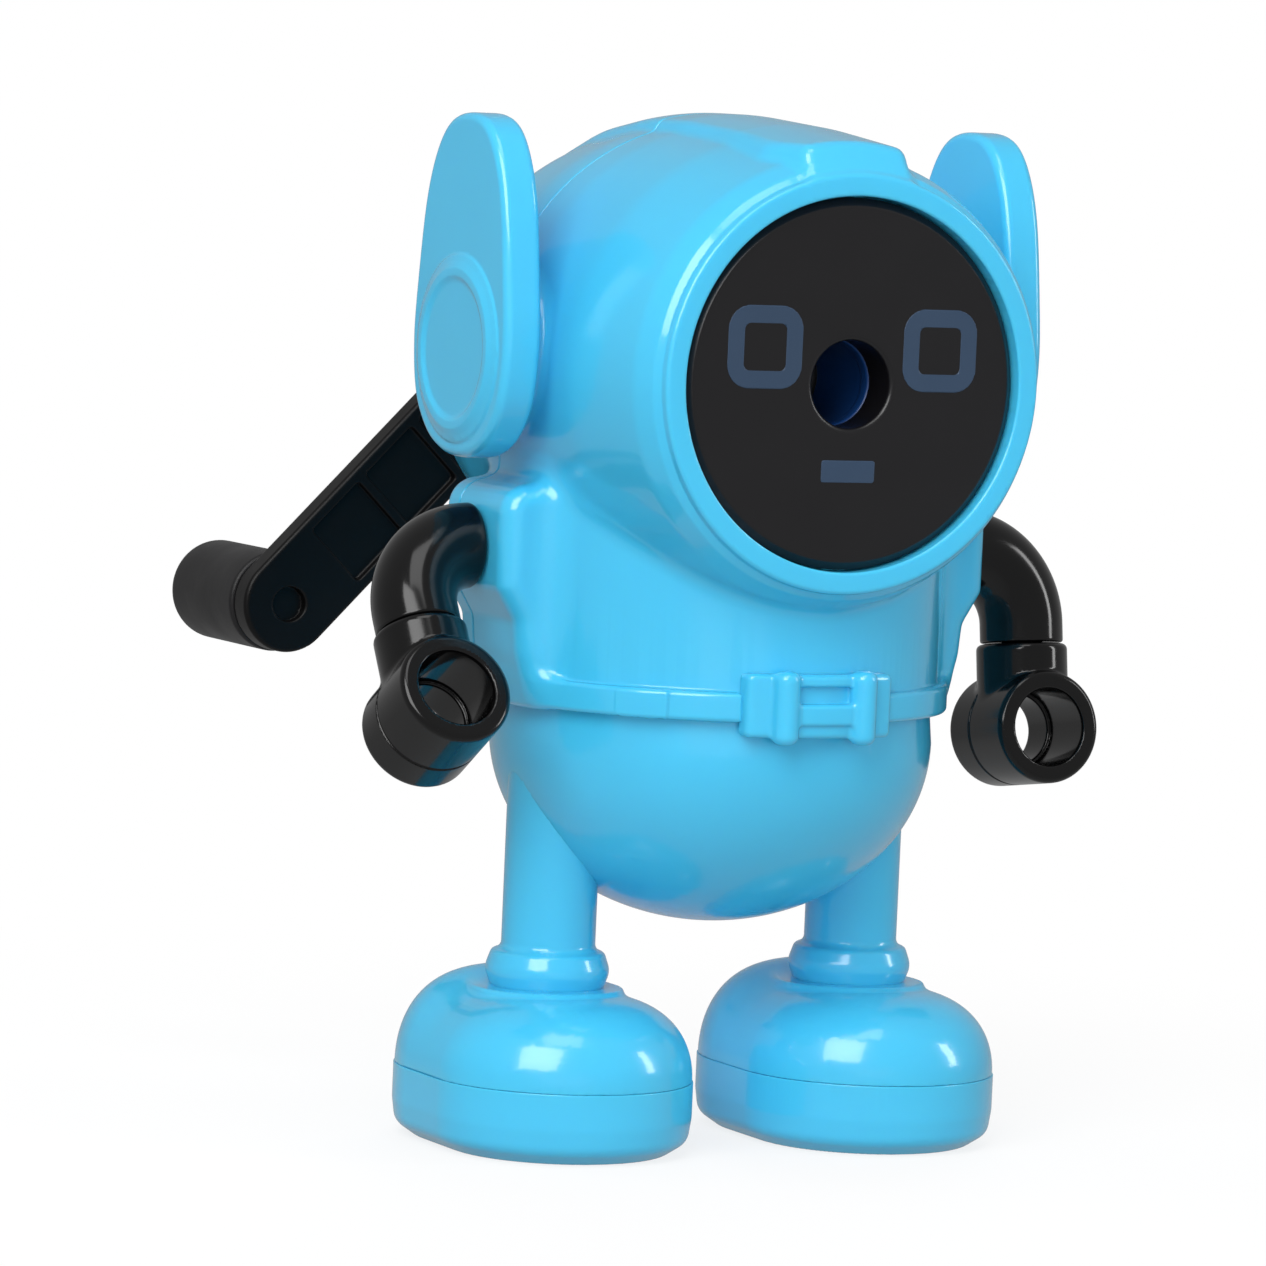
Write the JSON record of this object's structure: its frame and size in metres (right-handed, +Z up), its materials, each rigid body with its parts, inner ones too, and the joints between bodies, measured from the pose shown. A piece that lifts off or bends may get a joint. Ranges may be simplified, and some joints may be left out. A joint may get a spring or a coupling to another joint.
{
  "type": "crank pencil sharpener",
  "caption": "Robot-shaped hand-crank pencil sharpener: pencil hole in the face, rear crank, belly bin for shavings, swinging arms, wrists and ears.",
  "frame": {"origin": "on the floor, under the middle of the whole length from the face to the end of the crank knob", "axes": "+Z up, the face looks along -Y, +X is the left side of the robot"},
  "size_m": [0.09, 0.102, 0.1141],
  "materials": {
    "blue_plastic": "glossy moulded plastic",
    "black_plastic": "glossy black plastic",
    "satin_black": "satin black plastic",
    "face_black": "satin face plate",
    "navy_plastic": "dark navy plastic",
    "steel": "plain steel",
    "cutter_steel": "ground tool steel",
    "brass": "cut brass",
    "white_nylon": "natural nylon",
    "zinc": "die-cast zinc"
  },
  "bodies": {
    "lower_unit": {"belly_bin": "blue_plastic", "right_leg": "blue_plastic", "left_leg": "blue_plastic", "right_foot_cover": "blue_plastic", "left_foot_cover": "blue_plastic", "right_sole": "blue_plastic", "left_sole": "blue_plastic", "right_leg_screw": "steel", "left_leg_screw": "steel"},
    "upper_unit": {"front_shell": "blue_plastic", "rear_shell": "blue_plastic", "face_plate": "face_black", "pencil_guide": "navy_plastic", "belt_buckle": "blue_plastic", "ring_gear": "white_nylon", "rear_bearing": "white_nylon", "housing_screw_1": "steel", "housing_screw_2": "steel", "housing_screw_3": "steel", "housing_screw_4": "steel", "right_shoulder_pin": "steel", "left_shoulder_pin": "steel", "right_ear_pin": "steel", "left_ear_pin": "steel"},
    "crank": {"crank_arm": "satin_black", "crank_shaft": "steel", "crank_screw": "steel", "knob_pin": "steel", "cutter_carrier": "zinc", "cutter_axle": "steel"},
    "cutter": {"helical_cutter": "cutter_steel", "cutter_gear": "brass"},
    "knob": {"crank_knob": "satin_black"},
    "right_arm": {"right_arm": "black_plastic"},
    "left_arm": {"left_arm": "black_plastic"},
    "right_hand": {"right_hand": "black_plastic"},
    "left_hand": {"left_hand": "black_plastic"},
    "right_ear": {"right_ear": "blue_plastic"},
    "left_ear": {"left_ear": "blue_plastic"}
  },
  "joints": [
    {"name": "lift_off_bin", "type": "slide", "parent": "lower_unit", "child": "upper_unit", "axis": [0, 0, 1], "range_m": [0, 0.03]},
    {"name": "crank_turn", "type": "hinge", "parent": "upper_unit", "child": "crank", "pos_m": [0, 0.01875, 0.0859], "axis": [0, 1, 0], "continuous": true},
    {"name": "cutter_turn", "type": "hinge", "parent": "crank", "child": "cutter", "pos_m": [0, 0.00075, 0.09115], "axis": [0, 0.9816, -0.1908], "continuous": true},
    {"name": "knob_turn", "type": "hinge", "parent": "crank", "child": "knob", "pos_m": [-0.03007, 0.03875, 0.0553], "axis": [0, 1, 0], "continuous": true},
    {"name": "right_shoulder", "type": "hinge", "parent": "upper_unit", "child": "right_arm", "pos_m": [-0.03, -0.02065, 0.066], "axis": [-1, 0, 0], "range_deg": [-80, 78]},
    {"name": "right_wrist", "type": "hinge", "parent": "right_arm", "child": "right_hand", "pos_m": [-0.0386, -0.02621, 0.05709], "axis": [0, 0.5299, 0.848], "range_deg": [-90, 90]},
    {"name": "right_ear_tilt", "type": "hinge", "parent": "upper_unit", "child": "right_ear", "pos_m": [-0.0309, -0.02125, 0.0875], "axis": [-1, 0, 0], "range_deg": [-25, 25]},
    {"name": "left_shoulder", "type": "hinge", "parent": "upper_unit", "child": "left_arm", "pos_m": [0.03, -0.02065, 0.066], "axis": [-1, 0, 0], "range_deg": [-56, 102]},
    {"name": "left_wrist", "type": "hinge", "parent": "left_arm", "child": "left_hand", "pos_m": [0.0386, -0.02211, 0.0556], "axis": [0, 0.1392, 0.9903], "range_deg": [-90, 90]},
    {"name": "left_ear_tilt", "type": "hinge", "parent": "upper_unit", "child": "left_ear", "pos_m": [0.0309, -0.02125, 0.0875], "axis": [-1, 0, 0], "range_deg": [-25, 25]}
  ],
  "couplings": [
    {"joint": "cutter_turn", "follows": "crank_turn", "ratio": -1.875}
  ]
}
